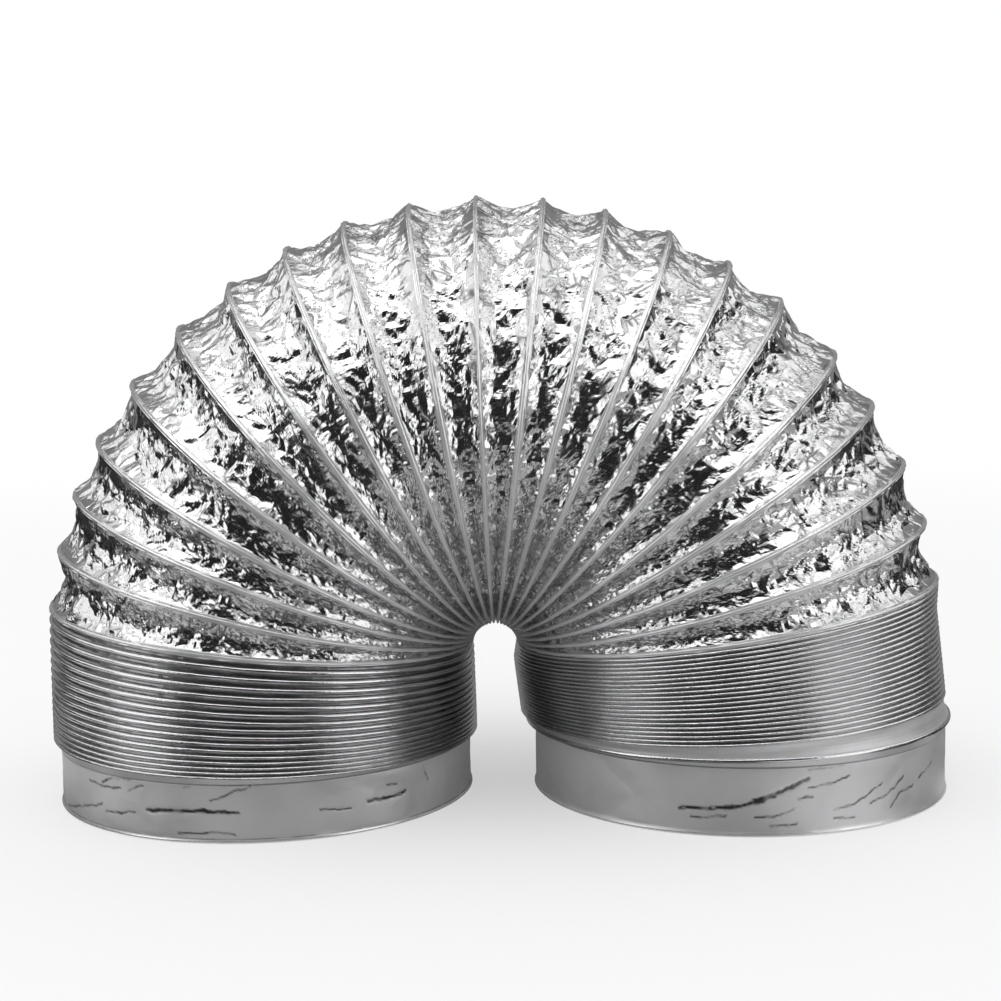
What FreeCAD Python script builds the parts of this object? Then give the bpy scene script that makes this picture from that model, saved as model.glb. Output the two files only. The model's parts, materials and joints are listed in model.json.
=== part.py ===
"""Flexible air duct for a 150 mm line, bent through half a turn and standing on its two open ends.

The duct is one foil sleeve with a turn of spring wire under every rib. Over the arch the ribs
fan out, tight together inside the bend and wide apart outside, with crumpled foil between them.
In each leg the ribs are pressed into a stack, and below it is a plain foil cuff with a rolled hem.
All sizes are in millimetres and degrees. +X runs from the left leg to the right leg, +Y runs
away from the viewer, +Z is up, and the origin is on the floor under the middle of the duct.
"""
import FreeCAD, Part
import os
from math import cos, pi, radians, sin

# Driving sizes of the foil
bore_radius = 75.0
cuff_wall = 0.4
foil_thickness = 0.3
rib_rise = 2.7
left_cuff_height = 20.0
right_cuff_height = 23.5
hem_height = 2.4
hem_rise = 0.6

# Driving sizes of the wire, whose round section has eight flats to keep the many turns light
wire_diameter = 0.9
wire_play = 0.3
wire_flats = 8

# Driving sizes of the arch
bend_gap = 8.0
stack_rise = 29.7
bay_depth_outside = 4.0
bay_depth_inside = 0.25
bay_floor_share = 0.4

# Where the turns of the arch stand about its centre, from the left leg to the right, with +X at 0
turn_angles = [
    173.5, 166.0, 158.5, 151.0, 142.5, 133.5, 125.0, 116.5, 108.5, 100.0, 91.5,
    83.0, 75.0, 66.5, 58.0, 50.0, 40.5, 32.5, 24.0, 16.0, 8.5,
]

# Driving sizes of the crumpled foil between two turns
bay_corners = 36
corner_lag = 0.3
crumple_rise = 0.9

# Driving sizes of the two stacks
left_stack_turns = 16
left_foot_shift = 0.2
left_first_gap = 2.8
left_first_tilt = 1.0
left_crowding = 0.42
right_stack_turns = 22
right_foot_shift = 4.8
right_first_gap = 2.8
right_first_tilt = 0.8
right_band = 5.7
right_band_tilt = 2.8
crest_width = 0.6
pleat_share = 0.5

# Largest gap that is closed when the faces of a sleeve are joined
sewing_tolerance = 1e-4

# Sizes that follow from the driving ones
cuff_radius = bore_radius + cuff_wall
rib_radius = cuff_radius + rib_rise
wire_radius = wire_diameter / 2
wire_ring_radius = rib_radius - foil_thickness - wire_play - wire_radius
arch_radius = bend_gap + rib_radius
arch_height = max(left_cuff_height, right_cuff_height) + stack_rise
arch_turns = len(turn_angles)
left_lean = 180.0 - turn_angles[0]
right_lean = turn_angles[-1]
left_foot_x = -arch_radius * cos(radians(left_lean)) + left_foot_shift
right_foot_x = arch_radius * cos(radians(right_lean)) + right_foot_shift


def ring_frame(x, z, tilt):
    """Frame of a round section: its local X is the duct's +Y and its local Z is its axis.

    The tilt is the angle from the horizontal section, and a positive tilt lifts the +X side.
    """
    across = FreeCAD.Vector(0, 1, 0)
    axis = FreeCAD.Vector(-sin(radians(tilt)), 0, cos(radians(tilt)))
    side = axis.cross(across)
    return FreeCAD.Placement(FreeCAD.Vector(x, 0, z), FreeCAD.Rotation(across, side, axis, "ZXY"))


def section(radius, frame, along=0.0):
    """Circle of one section, moved along the section's axis."""
    circle = Part.Wire(Part.makeCircle(radius))
    step = FreeCAD.Placement(FreeCAD.Vector(0, 0, along), FreeCAD.Rotation())
    circle.Placement = frame.multiply(step)
    return circle


def sleeve(outside, inside):
    """Thin foil tube between two lists of closed lines, with straight foil from line to line."""
    faces = Part.makeLoft(outside, False, True).Faces + Part.makeLoft(inside, False, True).Faces
    faces += [Part.Face([outside[end], inside[end]]) for end in (0, -1)]
    tube = Part.Solid(Part.Shell(faces))
    tube.fix(sewing_tolerance, sewing_tolerance, sewing_tolerance)
    return tube


def arch_frame(angle):
    """Section of the arch at an angle from +X about the arch's centre."""
    x = arch_radius * cos(radians(angle))
    z = arch_height + arch_radius * sin(radians(angle))
    return ring_frame(x, z, angle)


def crumple(line, corner):
    """Uneven share from -1 to 1 by which crumpling moves one corner of a line round the foil."""
    wrapped = corner % bay_corners
    return (sin(2.3 * wrapped + 5.1 * line) + sin(4.7 * wrapped - 3.3 * line)) / 2


def cornered_line(radius, angle, inwards, line, rise, lag):
    """Closed line round the arch's foil: shallow arcs between corners that crumpling moves.

    The foil crumples most where its bay is wide, on the outside of the bend, and the lag turns
    the corners on round the section, in steps from one corner to the next.
    """
    frame = arch_frame(angle)

    def point(step, share):
        around = 2 * pi * (step + lag) / bay_corners
        room = (arch_radius - rib_radius * sin(around)) / (arch_radius + rib_radius)
        reach = radius + rise * room * share
        return frame.multVec(FreeCAD.Vector(reach * cos(around), inwards + reach * sin(around), 0))

    edges = []
    for corner in range(bay_corners):
        here = crumple(line, corner)
        there = crumple(line, corner + 1)
        arc = Part.Arc(point(corner, here), point(corner + 0.5, (here + there) / 2),
                       point(corner + 1, there))
        edges.append(arc.toShape())
    return Part.Wire(edges)


def foil_bay(number):
    """Crumpled foil between two turns of the arch: two crests and the drawn-in floor between them."""
    first = turn_angles[number - 1]
    last = turn_angles[number]
    slope = (first - last) * (1 - bay_floor_share) / 2
    depth = (bay_depth_outside + bay_depth_inside) / 2
    inwards = (bay_depth_outside - bay_depth_inside) / 2
    walls = []
    for radius in (rib_radius, rib_radius - foil_thickness):
        walls.append([
            cornered_line(radius, first, 0.0, 0, 0.0, 0.0),
            cornered_line(radius - depth, first - slope, inwards, 2 * number, crumple_rise, corner_lag),
            cornered_line(radius - depth, last + slope, inwards, 2 * number + 1, crumple_rise,
                          2 * corner_lag),
            cornered_line(radius, last, 0.0, 0, 0.0, 3 * corner_lag),
        ])
    return sleeve(*walls)


def wire_turn(frame):
    """One turn of the spring wire, which lies under the crest of a rib."""
    corners = []
    for flat in range(wire_flats + 1):
        angle = 2 * pi * (flat + 0.5) / wire_flats
        corners.append(FreeCAD.Vector(wire_ring_radius + wire_radius * cos(angle), 0,
                                      wire_radius * sin(angle)))
    profile = Part.Face(Part.makePolygon(corners))
    ring = profile.revolve(FreeCAD.Vector(0, 0, 0), FreeCAD.Vector(0, 0, 1), 360)
    ring.Placement = frame
    return ring


def graded_values(start, stop, count, crowding=0.0):
    """Values from start up to, but without, stop, closer together at the start by the crowding."""
    values = []
    for i in range(count):
        share = i / count
        values.append(start + (stop - start) * share * (1 - crowding * (1 - share)))
    return values


def stack_frames(foot_x, cuff_height, top_angle, gaps_and_tilts):
    """Sections of a leg's ribs, from the lowest up, on the line from the cuff to the arch."""
    top_x = arch_radius * cos(radians(top_angle))
    top_z = arch_height + arch_radius * sin(radians(top_angle))
    frames = []
    for rise, tilt in gaps_and_tilts:
        share = rise / (top_z - cuff_height)
        frames.append(ring_frame(foot_x + (top_x - foot_x) * share, cuff_height + rise, tilt))
    return frames


def left_stack_frames():
    """Ribs of the left leg, crowded above the cuff, with the tilt growing towards the arch."""
    total = arch_height + arch_radius * sin(radians(left_lean)) - left_cuff_height
    rises = graded_values(left_first_gap, total, left_stack_turns, left_crowding)
    tilts = graded_values(left_first_tilt, left_lean, left_stack_turns, left_crowding)
    steps = [(rise, -tilt) for rise, tilt in zip(rises, tilts)]
    return stack_frames(left_foot_x, left_cuff_height, turn_angles[0], steps)


def right_stack_frames():
    """Ribs of the right leg: one rib alone above the cuff, a plain band, then the stack."""
    total = arch_height + arch_radius * sin(radians(right_lean)) - right_cuff_height
    rises = [right_first_gap]
    rises += graded_values(right_first_gap + right_band, total, right_stack_turns - 1)
    tilts = [right_first_tilt]
    tilts += graded_values(right_band_tilt, right_lean, right_stack_turns - 1)
    return stack_frames(right_foot_x, right_cuff_height, turn_angles[-1], list(zip(rises, tilts)))


def halfway(low, high):
    """Section midway between two others, at the mean of their tilts."""
    middle = (low.Base + high.Base) / 2
    return FreeCAD.Placement(middle, low.Rotation.slerp(high.Rotation, 0.5))


def pleats(foot_x, cuff_height, ribs, top):
    """Pleated foil of one leg, from the cuff up to the first turn of the arch."""
    half_crest = crest_width / 2
    rings = [(cuff_radius, ring_frame(foot_x, cuff_height, 0.0), 0.0)]
    for low, high in zip(ribs, ribs[1:] + [top]):
        pleat_depth = min(pleat_share * (high.Base - low.Base).Length, rib_rise)
        rings.append((rib_radius, low, -half_crest))
        rings.append((rib_radius, low, half_crest))
        rings.append((rib_radius - pleat_depth, halfway(low, high), 0.0))
    rings.append((rib_radius, top, -half_crest))
    rings.append((rib_radius, top, 0.0))
    outside = [section(radius, frame, along) for radius, frame, along in rings]
    inside = [section(radius - foil_thickness, frame, along) for radius, frame, along in rings]
    return sleeve(outside, inside)


def cuff(foot_x, height):
    """Plain end of the sleeve: a straight foil wall with a rolled hem at its open rim."""
    middle = FreeCAD.Vector(cuff_radius + hem_rise, 0, hem_height / 2)
    corners = [
        FreeCAD.Vector(cuff_radius, 0, hem_height),
        FreeCAD.Vector(cuff_radius, 0, height),
        FreeCAD.Vector(bore_radius, 0, height),
        FreeCAD.Vector(bore_radius, 0, 0),
        FreeCAD.Vector(cuff_radius, 0, 0),
    ]
    edges = [Part.makeLine(a, b) for a, b in zip(corners, corners[1:])]
    edges.append(Part.Arc(corners[-1], middle, corners[0]).toShape())
    profile = Part.Face(Part.Wire(Part.__sortEdges__(edges)))
    wall = profile.revolve(FreeCAD.Vector(0, 0, 0), FreeCAD.Vector(0, 0, 1), 360)
    wall.translate(FreeCAD.Vector(foot_x, 0, 0))
    return wall


def build():
    """Every piece of the duct by its name, still centred on the arch."""
    turns = [arch_frame(angle) for angle in turn_angles]
    left_ribs = left_stack_frames()
    right_ribs = right_stack_frames()
    right_top = ring_frame(turns[-1].Base.x, turns[-1].Base.z, right_lean)
    left_top = ring_frame(turns[0].Base.x, turns[0].Base.z, -left_lean)
    pieces = {
        "left_cuff": cuff(left_foot_x, left_cuff_height),
        "right_cuff": cuff(right_foot_x, right_cuff_height),
        "left_pleats": pleats(left_foot_x, left_cuff_height, left_ribs, left_top),
        "right_pleats": pleats(right_foot_x, right_cuff_height, right_ribs, right_top),
        "left_wire_turns": Part.makeCompound([wire_turn(frame) for frame in left_ribs]),
        "right_wire_turns": Part.makeCompound([wire_turn(frame) for frame in right_ribs]),
    }
    for number, frame in enumerate(turns, start=1):
        pieces[f"wire_turn_{number:02d}"] = wire_turn(frame)
    for number in range(1, arch_turns):
        pieces[f"foil_bay_{number:02d}"] = foil_bay(number)
    return pieces


def middle_x(pieces):
    """Middle of the whole duct along X, which becomes the origin."""
    boxes = [shape.BoundBox for shape in pieces.values()]
    return (min(box.XMin for box in boxes) + max(box.XMax for box in boxes)) / 2


pieces = build()
origin_shift = FreeCAD.Vector(-middle_x(pieces), 0, 0)
os.makedirs("parts", exist_ok=True)
for name, shape in pieces.items():
    shape.translate(origin_shift)
    shape.exportStep(f"parts/{name}.step")
print("origin shift along X", round(origin_shift.x, 4))
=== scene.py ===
"""Looks of the flexible air duct: crumpled foil between the ribs, foil drawn tight over the wire,
two plain cuffs, and a small studio. Everything is in metres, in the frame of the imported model."""
import json
import math

import bpy
from bpy.props import FloatProperty, FloatVectorProperty, IntProperty, PointerProperty
from mathutils import Matrix, Vector


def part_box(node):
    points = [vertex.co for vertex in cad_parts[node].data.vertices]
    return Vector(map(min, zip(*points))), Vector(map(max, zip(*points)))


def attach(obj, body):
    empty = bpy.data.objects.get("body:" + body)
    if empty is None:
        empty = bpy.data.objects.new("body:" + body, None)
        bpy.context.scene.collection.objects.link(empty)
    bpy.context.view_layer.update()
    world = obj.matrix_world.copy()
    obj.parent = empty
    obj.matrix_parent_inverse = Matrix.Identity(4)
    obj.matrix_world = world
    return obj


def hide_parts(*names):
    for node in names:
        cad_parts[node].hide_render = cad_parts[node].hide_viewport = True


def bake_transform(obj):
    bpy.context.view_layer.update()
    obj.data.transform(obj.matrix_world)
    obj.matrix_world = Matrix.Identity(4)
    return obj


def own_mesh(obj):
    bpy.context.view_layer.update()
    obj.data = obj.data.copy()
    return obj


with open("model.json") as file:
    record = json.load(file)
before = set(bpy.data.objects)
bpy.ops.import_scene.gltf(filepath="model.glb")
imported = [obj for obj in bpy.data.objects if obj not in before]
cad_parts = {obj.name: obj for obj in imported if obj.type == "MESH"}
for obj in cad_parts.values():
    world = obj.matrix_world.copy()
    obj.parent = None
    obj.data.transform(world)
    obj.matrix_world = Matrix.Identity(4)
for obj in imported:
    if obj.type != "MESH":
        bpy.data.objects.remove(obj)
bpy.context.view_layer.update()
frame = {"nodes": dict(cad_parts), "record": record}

bl_info = {
    "name": "Flexible Air Duct",
    "version": (1, 0, 0),
    "blender": (4, 5, 0),
    "location": "3D View > Sidebar > Duct",
    "description": "Builds the foil, ribs, cuffs and studio of a bent flexible air duct",
    "category": "Object",
}

MM = 0.001
# Angle that stays between two turns once a hinge of the arch has opened as far as it goes.
LEFT_OPEN = math.radians(0.2)
TURNS = sum(name.startswith("wire_turn_") for name in frame["nodes"])
CROWN = (TURNS + 1) // 2


def node_centre(name):
    """Middle of a node's box. For a wire turn, that is the centre of its ring."""
    low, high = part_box(name)
    return (low + high) / 2


def arch_from_wires():
    """Centre and radius of the circle through the centres of the first, crown and last wire turn."""
    a, b, c = (node_centre(f"wire_turn_{n:02d}") for n in (1, CROWN, TURNS))
    across, up = (b - a), (c - a)
    axis = across.cross(up)
    centre = a + (up.length_squared * axis.cross(across) + across.length_squared * up.cross(axis)) / (
        2 * axis.length_squared)
    return centre, (b - centre).length


def cuff_mount(side):
    """Foot centre, bore radius and height of a cuff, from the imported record."""
    mount = next(m for m in frame["record"]["mounts"] if m["name"] == f"{side}_cuff_bore")
    return Vector(mount["pos_m"]), mount["dims"]["r_mm"] * MM, mount["dims"]["length_mm"] * MM


def leg_of(side):
    """Foot and cuff height of a leg, the number of the arch's turn above it, and its outward angle."""
    foot, _, height = cuff_mount(side)
    return (foot, height, 1, math.pi) if side == "left" else (foot, height, TURNS, 0.0)


ARCH_CENTRE, ARCH_RADIUS = arch_from_wires()
# The foil of a bay reaches out to the ribs' own radius at both its rims.
RIB_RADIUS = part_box(f"foil_bay_{CROWN:02d}")[1].y
_, BORE_RADIUS, _ = cuff_mount("left")


class DuctSizes(bpy.types.PropertyGroup):
    """Sizes of the foil, the ribs and the cuffs."""
    depth_outside: FloatProperty(
        name="Bay Depth Outside", description="How far the foil dips between ribs outside the bend",
        default=4.2 * MM, unit="LENGTH")
    depth_inside: FloatProperty(
        name="Bay Depth Inside", description="How far the foil dips between ribs inside the bend",
        default=1.0 * MM, unit="LENGTH")
    foil_width: FloatProperty(
        name="Foil Width", description="Width of the foil from rib to rib when pulled flat",
        default=25.0 * MM, unit="LENGTH")
    bay_corners: IntProperty(
        name="Bay Corners", description="Corners round a bay between the main panels of its foil", default=36)
    corner_lag: FloatProperty(
        name="Corner Lag", description="Steps by which the corners turn on from line to line", default=0.3)
    floor_share: FloatProperty(
        name="Floor Share", description="Share of a bay between its two lines of corners", default=0.4)
    panel_rise: FloatProperty(
        name="Panel Rise", description="How far the corners of the main panels stand in or out",
        default=0.9 * MM, unit="LENGTH")
    crumple: FloatProperty(
        name="Crumple", description="Height of the small crumples on the main panels",
        default=1.1 * MM, unit="LENGTH")
    facet: FloatProperty(
        name="Facet", description="Width of the larger facets of the small crumples",
        default=8.5 * MM, unit="LENGTH")
    foil_wall: FloatProperty(
        name="Foil Wall", description="Thickness of the foil where it is plain",
        default=0.3 * MM, unit="LENGTH")
    rib_width: FloatProperty(
        name="Rib Width", description="Width of the foil drawn over a wire turn",
        default=1.9 * MM, unit="LENGTH")
    rib_slack: FloatProperty(
        name="Rib Slack", description="How much wider the slack foil inside the bend makes a rib",
        default=1.2 * MM, unit="LENGTH")
    rib_least_width: FloatProperty(
        name="Rib Least Width", description="Width of a rib where it has no room beside it",
        default=0.7 * MM, unit="LENGTH")
    rib_press: FloatProperty(
        name="Rib Press", description="Share of a rib's width that is left once the bend has opened",
        default=0.5, subtype="FACTOR")
    crown_share: FloatProperty(
        name="Crown Share",
        description="Width of the crown's rib, which turns close in on from both sides, in ribs",
        default=0.82, subtype="FACTOR")
    rib_height: FloatProperty(
        name="Rib Height", description="Height of the foil drawn over a wire turn",
        default=1.8 * MM, unit="LENGTH")
    rib_proud: FloatProperty(
        name="Rib Proud", description="How far the wire's ridge stands above the foil beside it",
        default=0.38 * MM, unit="LENGTH")
    rib_fold: FloatProperty(
        name="Rib Fold", description="Height of the foil's pinched edges to both sides of the wire's ridge",
        default=0.4 * MM, unit="LENGTH")
    pleat_share: FloatProperty(
        name="Pleat Share", description="Depth of the foil between two ribs of a stack, in rib pitches",
        default=0.5)
    pleat_limit: FloatProperty(
        name="Pleat Limit", description="Greatest depth of the foil between two ribs of a stack",
        default=2.7 * MM, unit="LENGTH")
    band_depth: FloatProperty(
        name="Band Depth", description="Depth of the plain band above the lone rib of a stack",
        default=1.0 * MM, unit="LENGTH")
    stack_rib_width: FloatProperty(
        name="Stack Rib Width", description="Width of a pressed rib in a stack",
        default=1.7 * MM, unit="LENGTH")
    hem_height: FloatProperty(
        name="Hem Height", description="Height of the rolled hem of a cuff",
        default=1.3 * MM, unit="LENGTH")
    hem_rise: FloatProperty(
        name="Hem Rise", description="How far the hem stands out of a cuff",
        default=0.6 * MM, unit="LENGTH")
    cuff_wall: FloatProperty(
        name="Cuff Wall", description="Thickness of a cuff", default=0.4 * MM, unit="LENGTH")
    crease_depth: FloatProperty(
        name="Crease Depth", description="Depth of the sharpest creases of a cuff",
        default=0.34 * MM, unit="LENGTH")
    crease_width: FloatProperty(
        name="Crease Width", description="Reach of a cuff's crease to either side",
        default=0.5 * MM, unit="LENGTH")


class StackSizes(bpy.types.PropertyGroup):
    """Places of the ribs that are pressed together in a leg."""
    turns: IntProperty(name="Turns", description="Wire turns in the stack", default=16, min=1)
    first_gap: FloatProperty(
        name="First Gap", description="Height of the lowest rib above the cuff",
        default=2.8 * MM, unit="LENGTH")
    first_tilt: FloatProperty(
        name="First Tilt", description="Tilt of the lowest rib", default=math.radians(1.0), subtype="ANGLE")
    band: FloatProperty(
        name="Plain Band", description="Height from the lowest rib to the one above it, or 0 if even",
        default=0.0, unit="LENGTH")
    band_tilt: FloatProperty(
        name="Band Tilt", description="Tilt of the rib above the plain band", default=0.0, subtype="ANGLE")
    crowding: FloatProperty(
        name="Crowding", description="How much closer the lowest ribs are than the mean", default=0.42)
    side_shift: FloatProperty(
        name="Side Shift", description="How far the middle of the stack stands towards the other leg",
        default=0.0, unit="LENGTH")
    crumple: FloatProperty(
        name="Crumple", description="Height of the crumples between the ribs of the stack",
        default=0.2 * MM, unit="LENGTH")


class DuctFinish(bpy.types.PropertyGroup):
    """Colours and gloss."""
    foil: FloatVectorProperty(
        name="Foil", description="Colour of the crumpled foil", subtype="COLOR",
        default=(0.92, 0.92, 0.925), min=0, max=1)
    foil_roughness: FloatProperty(
        name="Foil Roughness", description="Roughness of the crumpled foil", default=0.13, subtype="FACTOR")
    # Painted shade: the same foil, painted darker where it lies deep between the ribs of a stack.
    pleat: FloatVectorProperty(
        name="Pleat", description="Colour of the foil down between the ribs of a stack", subtype="COLOR",
        default=(0.43, 0.43, 0.435), min=0, max=1)
    rib: FloatVectorProperty(
        name="Rib", description="Colour of the foil over the wire", subtype="COLOR",
        default=(0.92, 0.92, 0.93), min=0, max=1)
    cuff: FloatVectorProperty(
        name="Cuff", description="Colour of the plain cuffs", subtype="COLOR",
        default=(0.78, 0.78, 0.79), min=0, max=1)
    wire: FloatVectorProperty(
        name="Wire", description="Colour of the spring wire", subtype="COLOR",
        default=(0.55, 0.55, 0.57), min=0, max=1)
    floor: FloatVectorProperty(
        name="Floor", description="Colour of the floor", subtype="COLOR",
        default=(0.96, 0.96, 0.96), min=0, max=1)


class Field:
    """A value in a node tree, which can be added, multiplied and so on in plain Python."""

    def __init__(self, tree, socket):
        self.tree = tree
        self.socket = socket

    def math(self, operation, *others, clamp=False):
        node = self.tree.nodes.new("ShaderNodeMath")
        node.operation = operation
        node.use_clamp = clamp
        for place, value in enumerate((self, *others)):
            feed(self.tree, value, node.inputs[place])
        return Field(self.tree, node.outputs[0])

    def clamped(self):
        """Held between 0 and 1."""
        return self.math("ADD", 0.0, clamp=True)

    def __add__(self, other):
        return self.math("ADD", other)

    def __sub__(self, other):
        return self.math("SUBTRACT", other)

    def __mul__(self, other):
        return self.math("MULTIPLY", other)

    def __truediv__(self, other):
        return self.math("DIVIDE", other)

    def __rsub__(self, other):
        return constant(self.tree, other) - self

    def __rtruediv__(self, other):
        return constant(self.tree, other) / self

    __radd__ = __add__
    __rmul__ = __mul__


def feed(tree, value, socket):
    """Links a field to a socket, or sets the socket's own value."""
    if isinstance(value, Field):
        tree.links.new(value.socket, socket)
    else:
        socket.default_value = value


def constant(tree, value):
    node = tree.nodes.new("ShaderNodeValue")
    node.outputs[0].default_value = value
    return Field(tree, node.outputs[0])


def add_node(tree, kind, inputs=(), **settings):
    """New node with its settings and inputs, given as (socket name or number, value) pairs."""
    node = tree.nodes.new(kind)
    for name, value in settings.items():
        setattr(node, name, value)
    for key, value in inputs:
        feed(tree, value, node.inputs[key])
    return node


def join_xyz(tree, x, y, z):
    return Field(tree, add_node(tree, "ShaderNodeCombineXYZ", [(0, x), (1, y), (2, z)]).outputs[0])


def vector_math(tree, operation, a, b=None, scale=None):
    node = add_node(tree, "ShaderNodeVectorMath", [(0, a)], operation=operation)
    if b is not None:
        feed(tree, b, node.inputs[1])
    if scale is not None:
        feed(tree, scale, node.inputs["Scale"])
    return Field(tree, node.outputs["Value" if operation == "LENGTH" else "Vector"])


def new_tree(name, kind, inputs, outputs):
    """Node tree with named sockets. Each input is (name, socket type, default value)."""
    tree = bpy.data.node_groups.new(name, kind)
    for label, socket_type, value in inputs:
        socket = tree.interface.new_socket(label, in_out="INPUT", socket_type=socket_type)
        if value is not None:
            socket.default_value = value
    for label, socket_type in outputs:
        tree.interface.new_socket(label, in_out="OUTPUT", socket_type=socket_type)
    source = tree.nodes.new("NodeGroupInput")
    target = tree.nodes.new("NodeGroupOutput")
    fields = {label: Field(tree, source.outputs[label]) for label, _, _ in inputs}
    return tree, fields, target


NUMBER, WHOLE, VECTOR = "NodeSocketFloat", "NodeSocketInt", "NodeSocketVector"
GEOMETRY, MATERIAL = "NodeSocketGeometry", "NodeSocketMaterial"


def noise(tree, place, scale, detail=2.0):
    """Smooth noise about zero."""
    node = add_node(tree, "ShaderNodeTexNoise", [("Vector", place), ("Scale", scale), ("Detail", detail)])
    return Field(tree, node.outputs[0]) - 0.5


def wander(tree, place, scale, detail=2.0):
    """Smooth random vector about zero."""
    node = add_node(tree, "ShaderNodeTexNoise", [("Vector", place), ("Scale", scale), ("Detail", detail)])
    return vector_math(tree, "SUBTRACT", Field(tree, node.outputs["Color"]), (0.5, 0.5, 0.5))


def turned(tree, place, angles):
    """A place turned about the origin, so that a second pattern doesn't line up with the first."""
    node = add_node(tree, "ShaderNodeVectorRotate", [("Vector", place), ("Rotation", angles)],
                    rotation_type="EULER_XYZ")
    return Field(tree, node.outputs[0])


def folds(tree, place, scale):
    """Distance to the nearest border of random cells: flat facets that meet in sharp folds."""
    node = add_node(tree, "ShaderNodeTexVoronoi", [("Vector", place), ("Scale", scale)],
                    feature="DISTANCE_TO_EDGE")
    return Field(tree, node.outputs["Distance"])


def fold_distances(tree, place, facet):
    """Distances to the folds of three sizes of crumple, in cells, with the folds a little bent."""
    size = 1.0 / facet
    bend = wander(tree, place, size * 0.5, 1.0)
    place = vector_math(tree, "ADD", place, vector_math(tree, "SCALE", bend, scale=facet * 1.1))
    large = folds(tree, turned(tree, place, (0.3, 0.5, 0.9)), size * 0.62)
    middle = folds(tree, turned(tree, place, (1.1, 0.2, 0.4)), size * 1.35)
    small = folds(tree, turned(tree, place, (0.7, 1.3, 0.1)), size * 2.9)
    return large, middle, small


def crumple_height(tree, place, facet, room):
    """Creased height of crumpled foil, from faceted mounds of three sizes. Small ones win in narrow room."""
    large, middle, small = fold_distances(tree, place, facet)
    large = large.math("MINIMUM", 0.30)
    return large * room * 4.2 - middle * 1.7 + small * (1.9 - room * 1.75) - room * 0.6 + 0.15


def ring_point(tree, centre, turn, around, radius):
    """Point of a round section that faces the angle turn in the plane of the arch."""
    side = join_xyz(tree, turn.math("COSINE"), 0.0, turn.math("SINE"))
    outwards = vector_math(tree, "SCALE", side, scale=around.math("COSINE") * radius)
    across = join_xyz(tree, 0.0, around.math("SINE") * radius, 0.0)
    return vector_math(tree, "ADD", vector_math(tree, "ADD", centre, outwards), across)


def grid_fields(tree, columns, rows):
    """Grid of columns by rows, with its shares along each: 0 to 1 over the columns and the rows."""
    grid = add_node(tree, "GeometryNodeMeshGrid", [
        ("Size X", 1.0), ("Size Y", 1.0), ("Vertices X", columns + 1), ("Vertices Y", rows + 1)])
    place = add_node(tree, "GeometryNodeInputPosition")
    split = add_node(tree, "ShaderNodeSeparateXYZ", [(0, Field(tree, place.outputs[0]))])
    return grid, Field(tree, split.outputs[0]) + 0.5, Field(tree, split.outputs[1]) + 0.5


def wall_grid(tree, given, inner_columns):
    """Grid of a closed wall. Its outer face takes the first columns, and its inner face comes back over
    the last. Gives the grid, the share across the face, the turn round it, whether it is the inner face,
    and the share of the wall's thickness by which that stands off the outer one."""
    columns = given["Columns"]
    total = columns + float(inner_columns)
    grid, along, around = grid_fields(tree, total, given["Rows"])
    step = along * total
    inside = step.math("GREATER_THAN", columns + 0.01)
    back = (step - columns) / float(inner_columns)
    share = ((step / columns) * (1.0 - inside) + (1.0 - back) * inside).clamped()
    pinch = (back * 6.0).math("MINIMUM", (1.0 - back) * 6.0).math("MINIMUM", 1.0)
    return grid, share, around * math.tau, inside, pinch


def finish_tree(tree, target, geometry, place, pattern, material, smooth_faces=True, mask=None):
    """Moves the grid's points to their places, closes its seams and gives it its finish."""
    stored = add_node(tree, "GeometryNodeStoreNamedAttribute", [
        ("Geometry", geometry), ("Name", "foil_place"), ("Value", pattern)],
        data_type="FLOAT_VECTOR", domain="POINT")
    # The mask is stored for painted shade where it is above 0, and a painted highlight where it is below 0.
    if mask is not None:
        stored = add_node(tree, "GeometryNodeStoreNamedAttribute", [
            ("Geometry", Field(tree, stored.outputs[0])), ("Name", "painted_shade_and_highlight"), ("Value", mask)],
            data_type="FLOAT", domain="POINT")
    moved = add_node(tree, "GeometryNodeSetPosition", [
        ("Geometry", Field(tree, stored.outputs[0])), ("Position", place)])
    closed = add_node(tree, "GeometryNodeMergeByDistance", [
        ("Geometry", Field(tree, moved.outputs[0])), ("Distance", 0.001 * MM)])
    smooth = add_node(tree, "GeometryNodeSetShadeSmooth", [
        ("Geometry", Field(tree, closed.outputs[0])), ("Shade Smooth", smooth_faces)])
    real = add_node(tree, "GeometryNodeRealizeInstances", [("Geometry", Field(tree, smooth.outputs[0]))])
    named = add_node(tree, "GeometryNodeSetMaterial", [
        ("Geometry", Field(tree, real.outputs[0])), ("Material", material)])
    tree.links.new(named.outputs[0], target.inputs[0])


def mixed(tree, low, high, share):
    node = add_node(tree, "ShaderNodeMix", data_type="VECTOR")
    feed(tree, share, node.inputs[0])
    feed(tree, low, node.inputs[4])
    feed(tree, high, node.inputs[5])
    return Field(tree, node.outputs[1])


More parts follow.
